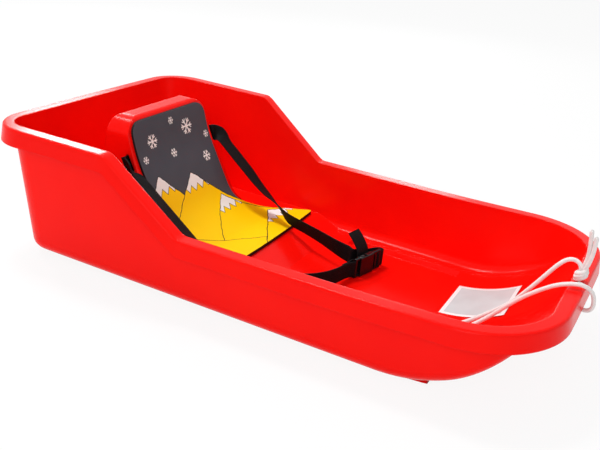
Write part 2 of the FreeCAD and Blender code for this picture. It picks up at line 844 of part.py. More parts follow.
def cord_tube(points, diameter):
    """Cord with flat sides along its route, with rings at the ends of each arc and within it."""
    stops = []
    for edge in cord_path(points)[0].Edges:
        first, last = edge.FirstParameter, edge.LastParameter
        steps = 1
        if not isinstance(edge.Curve, Part.Line):
            steps = math.ceil((last - first) / math.radians(cord_ring_turn_deg))
        for step in range(steps + 1):
            at = first + (last - first) * step / steps
            if not stops or (edge.valueAt(at) - stops[-1][0]).Length > near:
                stops.append((edge.valueAt(at), edge.tangentAt(at).normalize()))
    side = stops[0][1].cross(Vector(1, 0, 0)).normalize()
    rings = []
    for centre, along in stops:
        side = (side - along * side.dot(along)).normalize()
        over = along.cross(side)
        turns = [2 * math.pi * i / cord_sides for i in range(cord_sides)]
        rings.append([centre + (side * math.cos(t) + over * math.sin(t)) * (diameter / 2) for t in turns])
    return through_rings(rings)


def measure_cord(name, points):
    """Print a cord's length, its bends in diameters, and its volume against its length's."""
    path, radii = cord_path(points)
    bends = [round(radius / cord_diameter, 1) for radius in radii]
    section = cord_sides / 2 * math.sin(2 * math.pi / cord_sides) * (cord_diameter / 2) ** 2
    even = cord_tube(points, cord_diameter).Volume / (path.Length * section)
    print(name, "length", round(path.Length, 1), "bends", bends, "volume share", round(even, 4))


# The cord's route, chosen by hand: up from the knot, into the foot well, and back
cord_route = [Vector(*p) for p in (
    (786, 4, 133), (781, 9, 146), (770, 8, 152), (758, 1, 141), (747, -4, 121), (733, -4, 96),
    (717.5, -6, 71), (698.5, -9.5, 51), (677, -15, 33), (652, -39, 23), (627, -65, 17.5),
    (601, -89, 14.2), (574, -105, 14), (548, -108, 14), (521.9, -106, 14), (510.5, -94.6, 14),
    (510.5, -78.4, 14), (521.9, -67, 14), (549, -66, 14), (575, -65, 14), (602.1, -63.5, 14),
    (613.5, -52.1, 14.2), (613.5, -35.9, 14.2), (602.1, -24.5, 14), (575, -23.5, 14),
    (549, -24.5, 14), (522, -29, 14), (497, -48, 14), (487, -79, 14), (502, -109, 14),
    (534, -125, 14), (571, -122, 14), (604, -106, 14.2), (632, -83, 17.5), (658, -58, 24.5),
    (680, -38, 35), (698, -26, 51), (711, -24, 68), (723, -26, 85), (738, -29, 103),
    (755, -29, 121), (772, -27, 131), (790, -24, 133), (806, -20, 132), (815.5, -16, 121),
    (816.5, -12, 107), (816, -8.5, 92.3), (808.7, -5.5, 85), (798.3, -2.5, 85),
    (791, -0.8, 92.3), (791, 0, 107), (791, 0.5, 122),
)]
tail_long_route = [Vector(*p) for p in (
    (788.6, 1.8, 139.4), (790.5, 4, 151), (790.5, 6, 165), (788, 6, 180), (787, 5, 195),
)]
tail_short_route = [Vector(*p) for p in (
    (793.8, -1.6, 139.4), (797, -2.6, 150), (799, -2.4, 163), (797.5, -1.2, 176), (795.5, 0, 186),
)]


def cord_knot():
    """Lump of the knot over the hole, with the wraps of the cord showing."""
    foot = rim_front_height + knot_gap
    half = knot_width / 2
    step = knot_height / knot_wraps
    points = [(Vector(cord_hole_x, 0, foot), 0)]
    for wrap in range(knot_wraps):
        low = foot + wrap * step
        points.append((Vector(cord_hole_x + half * knot_waist_share, 0, low), 0))
        points.append((Vector(cord_hole_x + half * knot_swell_share, 0, low + step / 2), 0))
    top = foot + knot_height
    points.append((Vector(cord_hole_x + half * knot_waist_share, 0, top), 0))
    points.append((Vector(cord_hole_x, 0, top), 0))
    knot = Part.Face(rounded(points)).revolve(Vector(cord_hole_x, 0, foot), Vector(0, 0, 1), 360)
    ends = cord_route[:3], cord_route[-3:], tail_long_route[:3], tail_short_route[:3]
    for route in ends:
        knot = knot.cut(cord_tube(route, cord_diameter + 2 * knot_gap))
    return knot


nodes = {
    "sled_tub": sled_tub(),
    "seat_pad": seat_pad(),
    "belt_webbing": belt_webbing(),
    "belt_adjuster_end": belt_adjuster_end(),
    "buckle_socket": buckle_socket(),
    "buckle_plug": buckle_plug(),
    "release_arm_upper": release_arm(1),
    "release_arm_lower": release_arm(-1),
    "pull_cord": cord_tube(cord_route, cord_diameter),
    "cord_tail_long": cord_tube(tail_long_route, cord_diameter),
    "cord_tail_short": cord_tube(tail_short_route, cord_diameter),
    "cord_knot": cord_knot(),
}
measure_cord("pull_cord", cord_route)
measure_cord("cord_tail_long", tail_long_route)
measure_cord("cord_tail_short", tail_short_route)
os.makedirs("parts", exist_ok=True)
for name, shape in nodes.items():
    shape.translate(Vector(-length / 2, 0, 0))
    print(name, shape.isValid(), len(shape.Solids), round(shape.Volume))
    shape.exportStep("parts/" + name + ".step")
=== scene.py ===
# %% [markdown]
# A toddler sled is one moulded plastic tub with a printed seat pad, a lap belt and
# a pull cord. The rigid shapes come ready from the CAD frame. Here they get their
# finish, and the soft pieces, which CAD keeps plain, are made as what they are.
# %% Load the frame
import math
from functools import partial
import bpy
import numpy as np
from mathutils import Matrix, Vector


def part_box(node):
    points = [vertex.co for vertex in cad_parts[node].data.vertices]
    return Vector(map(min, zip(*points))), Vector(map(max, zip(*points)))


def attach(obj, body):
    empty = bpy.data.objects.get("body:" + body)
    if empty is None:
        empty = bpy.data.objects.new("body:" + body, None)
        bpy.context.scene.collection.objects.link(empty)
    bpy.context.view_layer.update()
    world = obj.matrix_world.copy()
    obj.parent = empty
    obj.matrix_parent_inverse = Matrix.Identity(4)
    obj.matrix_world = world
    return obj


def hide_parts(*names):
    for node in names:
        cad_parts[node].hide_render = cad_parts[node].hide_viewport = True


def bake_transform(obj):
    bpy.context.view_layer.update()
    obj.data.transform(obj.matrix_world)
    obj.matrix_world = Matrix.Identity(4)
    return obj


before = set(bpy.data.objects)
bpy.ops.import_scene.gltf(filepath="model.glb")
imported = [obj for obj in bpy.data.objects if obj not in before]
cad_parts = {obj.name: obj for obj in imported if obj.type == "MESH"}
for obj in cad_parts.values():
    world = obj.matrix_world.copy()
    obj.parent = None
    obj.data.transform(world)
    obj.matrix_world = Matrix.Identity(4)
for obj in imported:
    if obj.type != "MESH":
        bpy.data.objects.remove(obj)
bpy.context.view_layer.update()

# %% [markdown]
# Places on the sled are easiest to give in millimetres forward of its rear rim, so
# one helper turns them into metres in the frame. The tub's own box says where the
# rear rim is.
# %% Places counted from the rear rim
rear_rim = np.array([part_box("sled_tub")[0][0], 0.0, 0.0])


def on_sled(points_mm):
    """Points in millimetres from the rear rim as metres in the frame."""
    return np.asarray(points_mm, dtype=float) * 0.001 + rear_rim


print("rear rim at", rear_rim)

# %% [markdown]
# The view is set before anything else, since every piece is judged through it.
# The camera looks down on the sled from its front right corner, turned and tilted a
# little, as a product picture often is. Three angles give its axes: the way it looks,
# its right and its up.
# %% Camera
camera_turn = math.radians(26.85)
camera_pitch = math.radians(24.02)
camera_tilt = math.radians(5.41)
focal_pixels = 793.46
image_width_pixels = 600.0
sensor_mm = 36.0
camera_place = (0.4737, -0.9387, 0.5519)
nearest_seen = 0.05


def camera_axes(turn, pitch, tilt):
    """Right, up and back of a camera turned about Z, pitched down and tilted."""
    level = np.array([math.cos(turn), math.sin(turn), 0.0])
    forward = np.array([-math.sin(turn), math.cos(turn), 0.0])
    ahead = forward * math.cos(pitch) - np.array([0.0, 0.0, math.sin(pitch)])
    above = np.cross(level, ahead)
    right = level * math.cos(tilt) + above * math.sin(tilt)
    up = above * math.cos(tilt) - level * math.sin(tilt)
    return right, up, -ahead


def placing(right, up, back, place):
    """Matrix that turns an object's axes to three directions and moves it to a place."""
    rows = np.column_stack([right, up, back, place])
    return Matrix(np.vstack([rows, (0, 0, 0, 1)]).tolist())


camera_data = bpy.data.cameras.new("camera")
camera_data.sensor_width = sensor_mm
camera_data.lens = sensor_mm * focal_pixels / image_width_pixels
camera = bpy.data.objects.new("camera", camera_data)
bpy.context.scene.collection.objects.link(camera)
right, up, back = camera_axes(camera_turn, camera_pitch, camera_tilt)
camera.matrix_world = placing(right, up, back, camera_place)
camera_data.clip_start = nearest_seen
bpy.context.scene.camera = camera
bpy.context.scene.view_settings.view_transform = "Standard"
print("lens", round(camera_data.lens, 2))

# %% [markdown]
# Every new surface is a grid of points worked out as one array. These helpers turn it
# into a mesh object: a section swept along a line, or two sheets with a wall between
# them. Two numbers for each point are kept as a UV map, which woven patterns read.
# %% Grid to mesh


def new_object(name, points, faces, material):
    """Smooth mesh object at the origin from points and faces, with one material."""
    mesh = bpy.data.meshes.new(name)
    mesh.from_pydata(points.tolist(), [], faces)
    mesh.polygons.foreach_set("use_smooth", np.ones(len(mesh.polygons), dtype=bool))
    mesh.materials.append(material)
    piece = bpy.data.objects.new(name, mesh)
    bpy.context.scene.collection.objects.link(piece)
    return piece


def grid_faces(rows, columns, wrap_columns=False):
    """Quads of a grid whose points run along its columns first, wrapped round if asked."""
    count = columns if wrap_columns else columns - 1
    i, j = np.meshgrid(np.arange(rows - 1), np.arange(count), indexing="ij")
    here, below = i * columns, (i + 1) * columns
    following = (j + 1) % columns
    quads = [here + j, here + following, below + following, below + j]
    return np.stack([q.ravel() for q in quads], axis=1)


def swept_faces(rows, columns, reverse=False):
    """Faces of a closed section swept along its rows, with a face over each end."""
    first = list(range(columns))
    last = list(range((rows - 1) * columns, rows * columns))[::-1]
    faces = grid_faces(rows, columns, True).tolist() + [first, last]
    return [face[::-1] for face in faces] if reverse else faces


def sheet_faces(rows, columns):
    """Faces of two grids, one over the other, and of the wall that joins their rims."""
    count = rows * columns
    index = np.arange(count).reshape(rows, columns)
    rim = np.concatenate([index[0, :-1], index[:-1, -1], index[-1, :0:-1], index[:0:-1, 0]])
    ahead = np.roll(rim, -1)
    wall = np.stack([rim, ahead, ahead + count, rim + count], axis=1)
    quads = grid_faces(rows, columns)
    return np.concatenate([quads[:, ::-1], quads + count, wall]).tolist()


def put_uv(mesh, values):
    """Write two numbers per point into a UV map, corner by corner."""
    layer = mesh.uv_layers.new(name="surface")
    corner = np.empty(len(mesh.loops), dtype=np.int32)
    mesh.loops.foreach_get("vertex_index", corner)
    layer.data.foreach_set("uv", values[corner].astype(np.float32).ravel())


# %% [markdown]
# Ribbons and cords follow a line. A ribbon's stations are joined by a
# Catmull-Rom curve, which passes through every station with no corner, so that the
# webbing hangs in one easy line.
# %% Smooth lines


def through_stations(stations, steps):
    """Catmull-Rom curve through stations: each run is a cubic of its four nearest."""
    stations = np.asarray(stations, dtype=float)
    ahead, behind = 2 * stations[0] - stations[1], 2 * stations[-1] - stations[-2]
    padded = np.vstack([ahead, stations, behind])
    t = np.linspace(0, 1, steps, endpoint=False)[:, None, None]
    before, start, end, after = padded[:-3], padded[1:-2], padded[2:-1], padded[3:]
    curve = 0.5 * (2 * start + (end - before) * t
                   + (2 * before - 5 * start + 4 * end - after) * t ** 2
                   + (3 * start - before - 3 * end + after) * t ** 3)
    curve = curve.transpose(1, 0, 2).reshape(-1, stations.shape[1])
    return np.vstack([curve, stations[-1]])


def unit(vectors):
    """Vectors scaled to a length of one."""
    return vectors / np.linalg.norm(vectors, axis=-1, keepdims=True)


def run_lengths(line):
    """Distance along a line at each of its points."""
    steps = np.linalg.norm(np.diff(line, axis=0), axis=1)
    return np.concatenate([[0.0], np.cumsum(steps)])


def at_lengths(lengths, reach, line):
    """Points at given distances along a line, whose own points lie at reach."""
    return np.stack([np.interp(lengths, reach, part) for part in line.T], axis=1)


# %% [markdown]
# The floor is a plain pale sheet, and the world behind it is pale too. Camera rays, and
# rays that a glossy surface sends on, see the world as white. They see the floor as
# white mixed with the light that really falls on it, so the sled keeps a soft shadow.
# %% Floor and world
floor_half = 9.0
floor_glow = 0.90
world_light = 0.5
paper_white = (0.90, 0.90, 0.90, 1)
pure_white = (1, 1, 1, 1)


def node_material(name):
    """Empty node material and its tree."""
    material = bpy.data.materials.new(name)
    material.use_nodes = True
    material.node_tree.nodes.clear()
    return material, material.node_tree


def add(tree, kind, **settings):
    """New node with some of its properties set."""
    node = tree.nodes.new(kind)
    for key, value in settings.items():
        setattr(node, key, value)
    return node


def seen_directly(tree):
    """One for rays from the camera, gloss or glass, and none for light on the object."""
    rays = add(tree, "ShaderNodeLightPath")
    seen = rays.outputs["Is Camera Ray"]
    for other in ("Is Glossy Ray", "Is Transmission Ray"):
        either = add(tree, "ShaderNodeMath", operation="MAXIMUM")
        tree.links.new(seen, either.inputs[0])
        tree.links.new(rays.outputs[other], either.inputs[1])
        seen = either.outputs[0]
    return seen


def floor_material():
    """White paper that shows its shadow, lifted to white for the camera."""
    material, tree = node_material("pale_floor")
    out = add(tree, "ShaderNodeOutputMaterial")
    paper = add(tree, "ShaderNodeBsdfDiffuse")
    paper.inputs["Color"].default_value = paper_white
    glow = add(tree, "ShaderNodeEmission")
    glow.inputs["Color"].default_value = pure_white
    share = add(tree, "ShaderNodeMath", operation="MULTIPLY")
    share.inputs[1].default_value = floor_glow
    mix = add(tree, "ShaderNodeMixShader")
    tree.links.new(seen_directly(tree), share.inputs[0])
    tree.links.new(share.outputs[0], mix.inputs[0])
    tree.links.new(paper.outputs[0], mix.inputs[1])
    tree.links.new(glow.outputs[0], mix.inputs[2])
    tree.links.new(mix.outputs[0], out.inputs["Surface"])
    return material


floor_square = np.array([(-1, -1, 0), (1, -1, 0), (1, 1, 0), (-1, 1, 0)], dtype=float)
floor = new_object("floor", floor_square * floor_half, [(0, 1, 2, 3)], floor_material())

world = bpy.data.worlds.new("studio")
bpy.context.scene.world = world
world.use_nodes = True
sky = world.node_tree
sky.nodes.clear()
sky_out = add(sky, "ShaderNodeOutputWorld")
sky_light = add(sky, "ShaderNodeBackground")
sky_light.inputs["Color"].default_value = pure_white
sky_level = add(sky, "ShaderNodeMapRange")
sky_level.inputs["To Min"].default_value = world_light
sky_level.inputs["To Max"].default_value = 1.0
sky.links.new(seen_directly(sky), sky_level.inputs["Value"])
sky.links.new(sky_level.outputs["Result"], sky_light.inputs["Strength"])
sky.links.new(sky_light.outputs[0], sky_out.inputs["Surface"])

# %% [markdown]
# Moulded plastic shows its form through highlights, so the lamps are sheets. Two small
# bright ones hang over the seat and behind it, and draw a line along each rounded edge.
# A broad one beside the camera fills the near side. Two more stand behind, where the
# camera sees them mirrored in the rim's flat top.
# %% Lamps


def softbox(name, place, target, size, power):
    """Square sheet of light at a place, turned to a target."""
    data = bpy.data.lights.new(name, "AREA")
    data.shape = "SQUARE"
    data.size = size
    data.energy = power
    lamp = bpy.data.objects.new(name, data)
    bpy.context.scene.collection.objects.link(lamp)
    back = unit(np.array(place, dtype=float) - np.array(target, dtype=float))
    across = unit(np.cross((0, 0, 1.0), back))
    lamp.matrix_world = placing(across, np.cross(back, across), back, place)


softbox("top_lamp", (-0.75, 0.1, 2.3), (0, 0, 0.1), 0.4, 28)
softbox("edge_lamp", (-1.8, 0.2, 2.2), (-0.2, 0, 0.15), 0.3, 13)
softbox("side_lamp", (0.7, -2.2, 1.3), (0, 0, 0.1), 1.2, 20)
softbox("rear_lamp", (-1.74, 1.3, 1.0), (-0.24, -0.2, 0.2), 0.34, 9)
softbox("far_lamp", (-0.6, 2.1, 0.75), (0, 0.2, 0.1), 0.4, 4)

# %% [markdown]
# The finishes share some small helpers. One starts a material with a Principled surface
# and another links its colour, roughness and bump. Others read the mesh's own UV map, mix
# two colours by a mask, spread a mask over a range of values and turn a height in metres
# into a normal.
# %% Shader helpers


def surface_material(name, specular):
    """Material with a Principled surface: the material, its tree and its shader."""
    material, tree = node_material(name)
    out = add(tree, "ShaderNodeOutputMaterial")
    shader = add(tree, "ShaderNodeBsdfPrincipled")
    shader.inputs["Specular IOR Level"].default_value = specular
    tree.links.new(shader.outputs["BSDF"], out.inputs["Surface"])
    return material, tree, shader


def surface_place(tree):
    """The mesh's own UV map, whole and as its two numbers."""
    place = add(tree, "ShaderNodeUVMap", uv_map="surface")
    parts = add(tree, "ShaderNodeSeparateXYZ")
    tree.links.new(place.outputs["UV"], parts.inputs[0])
    return place.outputs["UV"], parts.outputs["X"], parts.outputs["Y"]


def math_node(tree, operation, first, second=None):
    """Math node fed by sockets or plain numbers."""
    node = add(tree, "ShaderNodeMath", operation=operation)
    for slot, value in enumerate((first, second)):
        if value is None:
            continue
        if isinstance(value, (int, float)):
            node.inputs[slot].default_value = value
        else:
            tree.links.new(value, node.inputs[slot])
    return node.outputs[0]


def two_tone(tree, shade, span, light, deep):
    """Colour that runs from a deep tone to a light one over a span of a mask."""
    ramp = add(tree, "ShaderNodeValToRGB")
    for stop, position, colour in zip(ramp.color_ramp.elements, span, (deep, light)):
        stop.position = position
        stop.color = colour
    tree.links.new(shade, ramp.inputs["Fac"])
    return ramp.outputs["Color"]


shade_span = (0.3, 0.7)


def spread(tree, shade, low, high):
    """Mask's usual span mapped to a range of values."""
    node = add(tree, "ShaderNodeMapRange")
    names = ("From Min", "From Max", "To Min", "To Max")
    for name, value in zip(names, (*shade_span, low, high)):
        node.inputs[name].default_value = value
    tree.links.new(shade, node.inputs["Value"])
    return node.outputs["Result"]


def bumped(tree, height, distance, strength, normal=None):
    """Normal from a height, in metres, over another normal if given."""
    bump = add(tree, "ShaderNodeBump")
    bump.inputs["Distance"].default_value = distance
    bump.inputs["Strength"].default_value = strength
    tree.links.new(height, bump.inputs["Height"])
    if normal is not None:
        tree.links.new(normal, bump.inputs["Normal"])
    return bump.outputs["Normal"]


def link_surface(tree, shader, colour, shade, roughness, height, depth, strength, under=None):
    """Link a surface's colour, its roughness by a mask and its bump by a height."""
    tree.links.new(colour, shader.inputs["Base Color"])
    tree.links.new(spread(tree, shade, *roughness), shader.inputs["Roughness"])
    tree.links.new(bumped(tree, height, depth, strength, under), shader.inputs["Normal"])


def mixed(tree, factor, first, second):
    """Colour mix of two colours or sockets by a mask."""
    node = add(tree, "ShaderNodeMix", data_type="RGBA")
    tree.links.new(factor, node.inputs["Factor"])
    for label, value in (("A", first), ("B", second)):
        slots = [s for s in node.inputs if s.name == label and s.type == "RGBA"]
        if isinstance(value, tuple):
            slots[0].default_value = value
        else:
            tree.links.new(value, slots[0])
    return [s for s in node.outputs if s.type == "RGBA"][0]


# %% [markdown]
# Several finishes share effects, so each effect is a node group. The first gives a
# fine uneven surface from noise at two sizes: the grain of the tool steel and the slow
# sink marks that a thick moulding has. Its scales differ by material.
# %% Grain group


def new_group(name, inputs, outputs):
    """Shader node group with (name, kind, value) inputs and (name, kind) outputs."""
    group = bpy.data.node_groups.new(name, "ShaderNodeTree")
    for label, kind, value in inputs:
        socket = group.interface.new_socket(name=label, in_out="INPUT", socket_type=kind)
        socket.default_value = value
    for label, kind in outputs:
        group.interface.new_socket(name=label, in_out="OUTPUT", socket_type=kind)
    start = add(group, "NodeGroupInput")
    end = add(group, "NodeGroupOutput")
    return group, start, end


def use_group(tree, group, **values):
    """Group placed in a material, with some of its inputs set."""
    node = add(tree, "ShaderNodeGroup")
    node.node_tree = group
    for key, value in values.items():
        node.inputs[key.replace("_", " ")].default_value = value
    return node


def grain_group():
    """Fine grain over slow unevenness, as height and as a shade for roughness."""
    inputs = [("Grain scale", "NodeSocketFloat", 900.0), ("Sink scale", "NodeSocketFloat", 14.0),
              ("Sink share", "NodeSocketFloat", 0.3)]
    group, start, end = new_group("moulding_grain", inputs,
                                  [("Height", "NodeSocketFloat"), ("Shade", "NodeSocketFloat")])
    place = add(group, "ShaderNodeTexCoord")
    fine = add(group, "ShaderNodeTexNoise")
    fine.inputs["Detail"].default_value = 3.0
    slow = add(group, "ShaderNodeTexNoise")
    slow.inputs["Detail"].default_value = 1.0
    mix = add(group, "ShaderNodeMix", data_type="FLOAT")
    for noise, scale in ((fine, "Grain scale"), (slow, "Sink scale")):
        group.links.new(place.outputs["Object"], noise.inputs["Vector"])
        group.links.new(start.outputs[scale], noise.inputs["Scale"])
    group.links.new(start.outputs["Sink share"], mix.inputs["Factor"])
    group.links.new(fine.outputs["Fac"], mix.inputs["A"])
    group.links.new(slow.outputs["Fac"], mix.inputs["B"])
    group.links.new(mix.outputs["Result"], end.inputs["Height"])
    group.links.new(slow.outputs["Fac"], end.inputs["Shade"])
    return group


moulding_grain = grain_group()

# %% [markdown]
# The tub is red polyethylene, glossy but never a mirror. Its colour shifts very
# slightly with the thickness of the wall, and handling dulls the gloss in patches, so
# noise drives both a little. The Bevel node rounds the light on the sharp edges that a
# real mould would leave soft.
# %% Red plastic


def plastic_material(name, light, deep, roughness, specular, edge_radius):
    """Moulded plastic: two close tones, patchy gloss, a fine grain and rounded edges."""
    tone_span = (0.35, 0.65)
    material, tree, shader = surface_material(name, specular)
    grain = use_group(tree, moulding_grain)
    shade = grain.outputs["Shade"]
    edge = add(tree, "ShaderNodeBevel", samples=6)
    edge.inputs["Radius"].default_value = edge_radius
    colour = two_tone(tree, shade, tone_span, light, deep)
    link_surface(tree, shader, colour, shade, roughness, height=grain.outputs["Height"],
                 depth=0.00002, strength=0.35, under=edge.outputs["Normal"])
    return material


def dress(node, material):
    """Give a CAD node its finish."""
    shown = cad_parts[node]
    shown.data.materials.clear()
    shown.data.materials.append(material)


tub_red = (0.94, 0.005, 0.002, 1)
tub_red_deep = (0.92, 0.004, 0.002, 1)
red_plastic = plastic_material("tub_red_plastic", tub_red, tub_red_deep,
                               roughness=(0.20, 0.24), specular=0.08, edge_radius=0.0024)
dress("sled_tub", red_plastic)

# %% [markdown]
# The buckle is black acetal. It is slicker than the tub and nearly black, with a soft
# line of light on each rounded edge.
# %% Black plastic
buckle_black = (0.005, 0.005, 0.006, 1)
buckle_black_deep = (0.003, 0.003, 0.004, 1)
black_plastic = plastic_material("buckle_black_plastic", buckle_black, buckle_black_deep,
                                 roughness=(0.08, 0.13), specular=0.25, edge_radius=0.0012)
for name in ("buckle_socket", "buckle_plug", "release_arm_upper", "release_arm_lower"):
    dress(name, black_plastic)

# %% [markdown]
# Webbing is a narrow twill. Its yarns show as a fine slanted rib on each half of the
# band, mirrored about the middle, with cross ribs where the weft turns. Waves on the
# ribbon's own UV map, in metres, give the height and painted shade between yarns.
# %% Woven webbing
webbing_width = 0.025
webbing_thick = 0.0016
yarn_black = (0.008, 0.008, 0.009, 1)
# The deeper black is painted shade for the hollows between yarns.
yarn_black_painted_shade = (0.002, 0.002, 0.002, 1)


def webbing_material():
    """Black polyester webbing with a mirrored twill rib and painted shade between its yarns."""
    ribs_per_metre = 450.0
    wefts_per_metre = 350.0
    slant = 0.9
    weft_share = 0.5
    tone_span = (0.1, 0.9)
    material, tree, shader = surface_material("belt_webbing_twill", specular=0.07)
    calc = partial(math_node, tree)
    _, across, down = surface_place(tree)
    slanted = calc("ADD", calc("MULTIPLY", calc("ABSOLUTE", across), slant), down)
    rib = calc("SINE", calc("MULTIPLY", slanted, ribs_per_metre * 2 * math.pi))
    weft = calc("SINE", calc("MULTIPLY", across, wefts_per_metre * 2 * math.pi))
    yarn = calc("ADD", rib, calc("MULTIPLY", weft, weft_share))
    highest = 1 + weft_share
    height = calc("MULTIPLY", calc("ADD", yarn, highest), 1 / (2 * highest))
    # Painted shade: the colour darkens where the yarn height is low.
    colour = two_tone(tree, height, tone_span, yarn_black, yarn_black_painted_shade)
    link_surface(tree, shader, colour, shade=height, roughness=(0.62, 0.5), height=height,
                 depth=0.0003, strength=0.8)
    return material


twill = webbing_material()

# %% [markdown]
# A strap is a flat section carried along its line. At each station the given
# "across" direction says how the band is twisted. The section is a thin rounded
# oblong, so the selvedge catches a line of light as real webbing does.
# %% Ribbon shape
flat_share = 0.965
flat_points = 9
edge_points = 3
ribbon_steps = 6


def section_ring(width, thick):
    """Thin oblong with rounded edges as (across, out) pairs, once round."""
    half, edge = width / 2, thick / 2
    flat = np.linspace(-1, 1, flat_points) * half * flat_share
    turn = np.radians(np.linspace(-90, 90, edge_points + 2)[1:-1])
    rounding, rise = edge * (1 - np.cos(turn)), edge * np.sin(turn)
    top = np.column_stack([flat[::-1], np.full(len(flat), edge)])
    left = np.column_stack([rounding - half, -rise])
    under = np.column_stack([flat, np.full(len(flat), -edge)])
    right_side = np.column_stack([half - rounding, rise])
    return np.vstack([top, left, under, right_side])


def ribbon(name, centres, across, material):
    """Webbing: a flat section swept through stations, with its ends closed."""
    stations = np.hstack([centres, unit(np.asarray(across, dtype=float))])
    line = through_stations(stations, ribbon_steps)
    middle, side = line[:, :3], line[:, 3:]
    along = unit(np.gradient(middle, axis=0))
    side = unit(side - along * np.sum(side * along, axis=1, keepdims=True))
    out = np.cross(along, side)
    ring = section_ring(webbing_width, webbing_thick)
    across_part, out_part = ring[None, :, :1], ring[None, :, 1:]
    points = middle[:, None] + side[:, None] * across_part + out[:, None] * out_part
    rows, columns = len(middle), len(ring)
    piece = new_object(name, points.reshape(-1, 3), swept_faces(rows, columns), material)
    length = np.repeat(run_lengths(middle)[:, None], columns, axis=1)
    width = np.repeat(ring[None, :, 0], rows, axis=0)
    put_uv(piece.data, np.stack([width, length], axis=-1).reshape(-1, 2))
    print(name, "length", round(float(length[-1, 0]), 3), "points", rows * columns)
    return piece


# %% [markdown]
# The belt leaves both sides of the seat back through slots, crosses the seat and meets
# at the buckle. The buckle lies on its edge, so its own frame runs along it, up, and
# through it. The stations below keep close to the solid belt.
# %% Belt stations
buckle_middle = on_sled((488.3, 61.8, 26.5))
buckle_turn = math.radians(75.7)
buckle_along = np.array([math.cos(buckle_turn), math.sin(buckle_turn), 0.0])
buckle_up = np.array([0.0, 0.0, 1.0])
buckle_through = np.cross(buckle_along, buckle_up)


def at_buckle(u, v, w):
    """Place in the frame from millimetres along, up and through the buckle."""
    return buckle_middle + (buckle_along * u + buckle_up * v + buckle_through * w) * 0.001


near_strap = [
    ((471, -10, 27), (0, 0, 1)), ((463, -31, 27.5), (0, 0, 1)),
    ((449, -52, 28.5), (0, 0, 1)), ((428, -71, 30), (0, 0, 1)),
    ((400, -87, 35), (0, -0.1, 1)), ((368, -97, 42), (0, -0.2, 1)),
    ((336, -102, 48), (0, -0.45, 1)), ((306, -104, 55), (0, -0.8, 0.7)),
    ((278, -105, 70), (0.05, -1, 0.35)), ((250, -105, 89), (0.1, -1, 0.22)),
    ((222, -106, 110), (0.08, -1, 0.2)), ((204, -107.5, 124), (-0.1, -1, 0.25)),
    ((190, -109, 136), (-0.28, -0.75, 0.5)), ((179, -109.5, 143.5), (-0.45, -0.3, 0.85)),
    ((170, -107, 146.3), (-0.48, 0, 0.88)),
]
inside_back = [((165, y, 144.1), (-0.479, 0, 0.878)) for y in (-100, -33, 33, 100)]
far_strap = [
    ((170, 107, 146.3), (-0.48, 0, 0.88)), ((177, 108.5, 146.2), (-0.47, 0.15, 0.86)),
    ((187, 109, 142), (-0.35, 0.6, 0.5)), ((198, 107.5, 133.5), (-0.1, 1, 0.1)),
    ((212, 106, 123.5), (0.05, 1, 0)), ((226, 105, 113), (0.1, 1, -0.05)),
    ((245.5, 104, 98), (0.08, 1, -0.08)), ((266, 103, 81), (0, 1, -0.18)),
    ((288.6, 99.5, 67.1), (-0.1, 0.95, -0.32)), ((312, 93, 57), (-0.12, 0.75, -0.65)),
]
adjuster_strap = [
    far_strap[-1], ((337, 84, 46), (0, 0.45, -1)),
    ((370, 74, 44), (0, 0.42, -1)), ((405, 62, 43), (0, 0.3, -1)),
    ((438, 51, 40.5), (0, 0.1, -1)), ((460, 49, 36.5), (0, -0.1, -1)),
]
socket_loop = [
    (-57, -2), (-45, -2.2), (-39, -3.0), (-36.2, -3.6), (-33, -3.8), (-31, -3.7),
    (-29.8, -2.0), (-29.5, 0), (-29.8, 2.0), (-31, 3.7), (-33, 3.8), (-36.2, 3.6),
    (-39, 2.2), (-45, 0.4), (-57, 0),
]
ladder_wrap = [
    (-18, 8, -16.5), (0, 1, -15.5), (18, -0.5, -12.5), (28.4, -0.5, -9), (32.9, 0, -5.2),
    (34.4, 0, -0.6), (32.4, 0, 3.2), (27.4, 0, 4.6), (23.4, 0, 4.1), (20.2, 0, 3.9),
    (18.4, 0, 2.6), (17.2, 0, 0), (16.2, 0, -2.8), (14.4, 0, -4.0), (12, 0, -4.6),
]
fold_up = [
    (7.6, 0, -5.7, 0), (2.8, 1, -6.1, 22.5), (-1.2, 3.7, -6.5, 45), (-3.9, 7.7, -6.9, 67.5),
    (-4.9, 12.5, -7.3, 90),
]
free_tail = [(-3.7, 19, -9.5), (-4, 27, -15), (-4.5, 35, -22), (-5, 41, -29)]

# %% [markdown]
# The webbing with the sewn loop is one band from the socket, through the seat back
# and down the far side. The adjusting band runs on to the plug's ladder, folds over
# its bar and ends in the free tail.
# %% Belt


def stations_of(pairs):
    """Centres in the frame and across directions from (place, across) pairs."""
    places, ways = zip(*pairs)
    return on_sled(places), np.array(ways, dtype=float)


sled_line, sled_across = stations_of(near_strap + inside_back + far_strap)
loop_line = np.array([at_buckle(u, 0, w) for u, w in socket_loop])
loop_across = np.tile(buckle_up, (len(loop_line), 1))
webbing = ribbon("belt_band", np.vstack([loop_line, sled_line]),
                 np.vstack([loop_across, sled_across]), twill)
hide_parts("belt_webbing")
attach(webbing, "sled")

